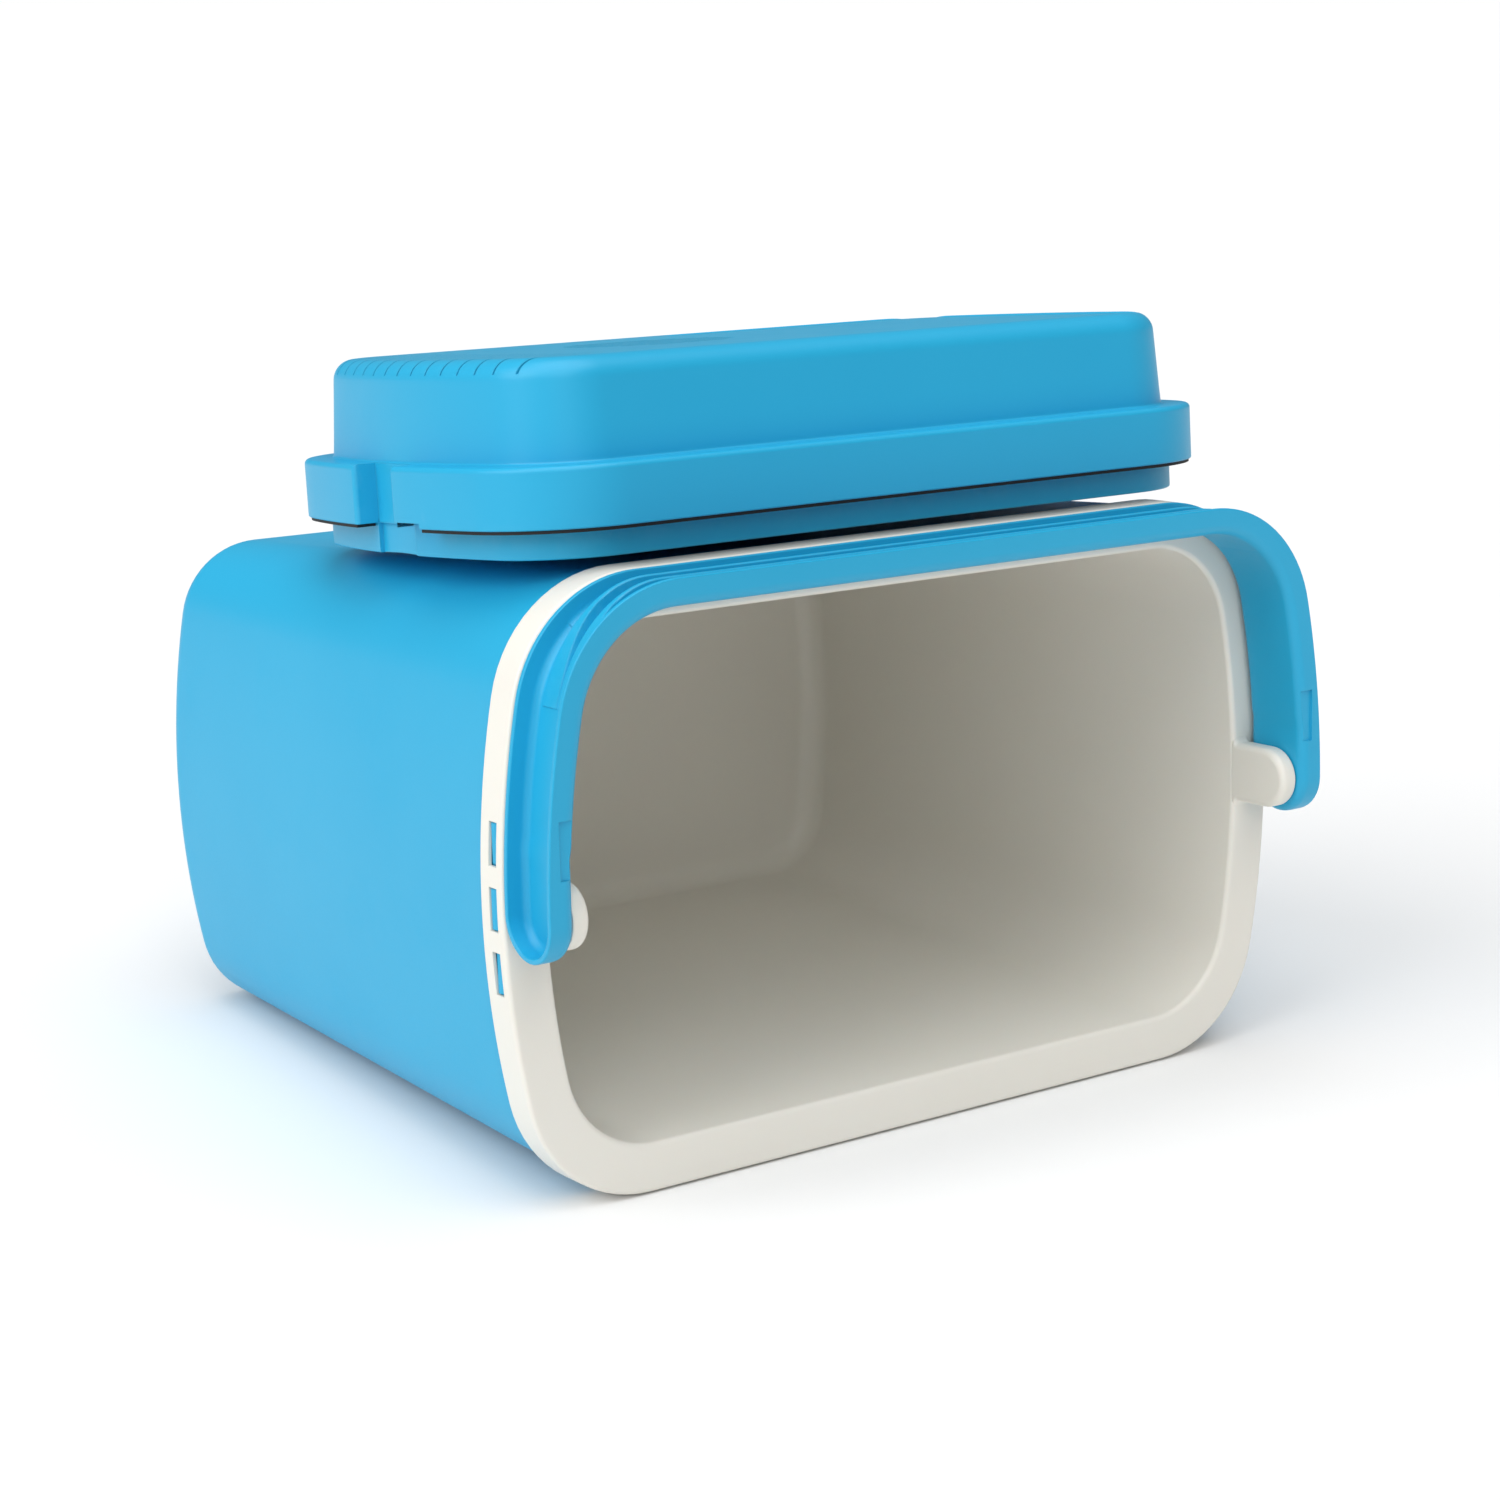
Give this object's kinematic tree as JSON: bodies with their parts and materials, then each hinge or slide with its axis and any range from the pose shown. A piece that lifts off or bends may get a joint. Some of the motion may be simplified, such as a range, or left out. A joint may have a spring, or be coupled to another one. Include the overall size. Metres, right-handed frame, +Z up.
{
  "type": "cooler chest",
  "caption": "Portable thermoelectric cooler chest: insulated tub with a ribbed carrying bail and a lift-off lid that holds the cooling unit.",
  "frame": {"origin": "middle of the whole chest's footprint on the floor, as it lies with its lid off", "axes": "+X along the length, +Y from the tub's opening towards its base, +Z up; the chest lies on one long side and the lid lies on the other"},
  "size_m": [0.4, 0.3646, 0.329],
  "materials": {
    "blue_shell": "fine moulded texture",
    "white_liner": "smooth moulded",
    "foam": "rigid foam",
    "blue_handle": "fine moulded texture",
    "blue_lid": "fine moulded texture",
    "black_seal": "soft rubber",
    "black_plastic": "moulded",
    "aluminium": "extruded",
    "ceramic": "ceramic plates",
    "steel": "zinc plated",
    "board_green": "solder mask",
    "switch_grey": "moulded",
    "lamp_green": "clear lens"
  },
  "bodies": {
    "box": {"outer_shell": "blue_shell", "inner_liner": "white_liner", "wall_insulation": "foam"},
    "handle": {"carry_handle": "blue_handle"},
    "lid": {"lid_cover": "blue_lid", "lid_base": "blue_lid", "lid_seal": "black_seal", "lid_insulation": "foam", "cold_grille": "black_plastic", "cold_fan_frame": "black_plastic", "cold_heat_sink": "aluminium", "spacer_block": "aluminium", "cooling_module": "ceramic", "hot_heat_sink": "aluminium", "hot_fan_frame": "black_plastic", "clamp_screws": "steel", "lid_screws": "steel", "control_board": "board_green", "power_inlet": "black_plastic", "switch_housing": "black_plastic", "status_lamp": "lamp_green"},
    "cold_fan": {"cold_fan_rotor": "black_plastic"},
    "hot_fan": {"hot_fan_rotor": "black_plastic"},
    "mode_slide": {"mode_switch": "switch_grey"}
  },
  "joints": [
    {"name": "handle_swing", "type": "hinge", "parent": "box", "child": "handle", "pos_m": [0, -0.16592, 0.1267], "axis": [1, 0, 0], "range_deg": [0, 180]},
    {"name": "lid_lift", "type": "slide", "parent": "box", "child": "lid", "axis": [0, 0, 1], "range_m": [0, 0.15]},
    {"name": "cold_fan_spin", "type": "hinge", "parent": "lid", "child": "cold_fan", "pos_m": [-0.0508, -0.03348, 0.23978], "axis": [0, 0.1036, 0.9946], "continuous": true},
    {"name": "hot_fan_spin", "type": "hinge", "parent": "lid", "child": "hot_fan", "pos_m": [-0.0508, -0.02633, 0.30851], "axis": [0, 0.1036, 0.9946], "continuous": true},
    {"name": "mode_switch_slide", "type": "slide", "parent": "lid", "child": "mode_slide", "axis": [0.9999, -0.0104, 0.0011], "range_m": [-0.006, 0.006]}
  ]
}
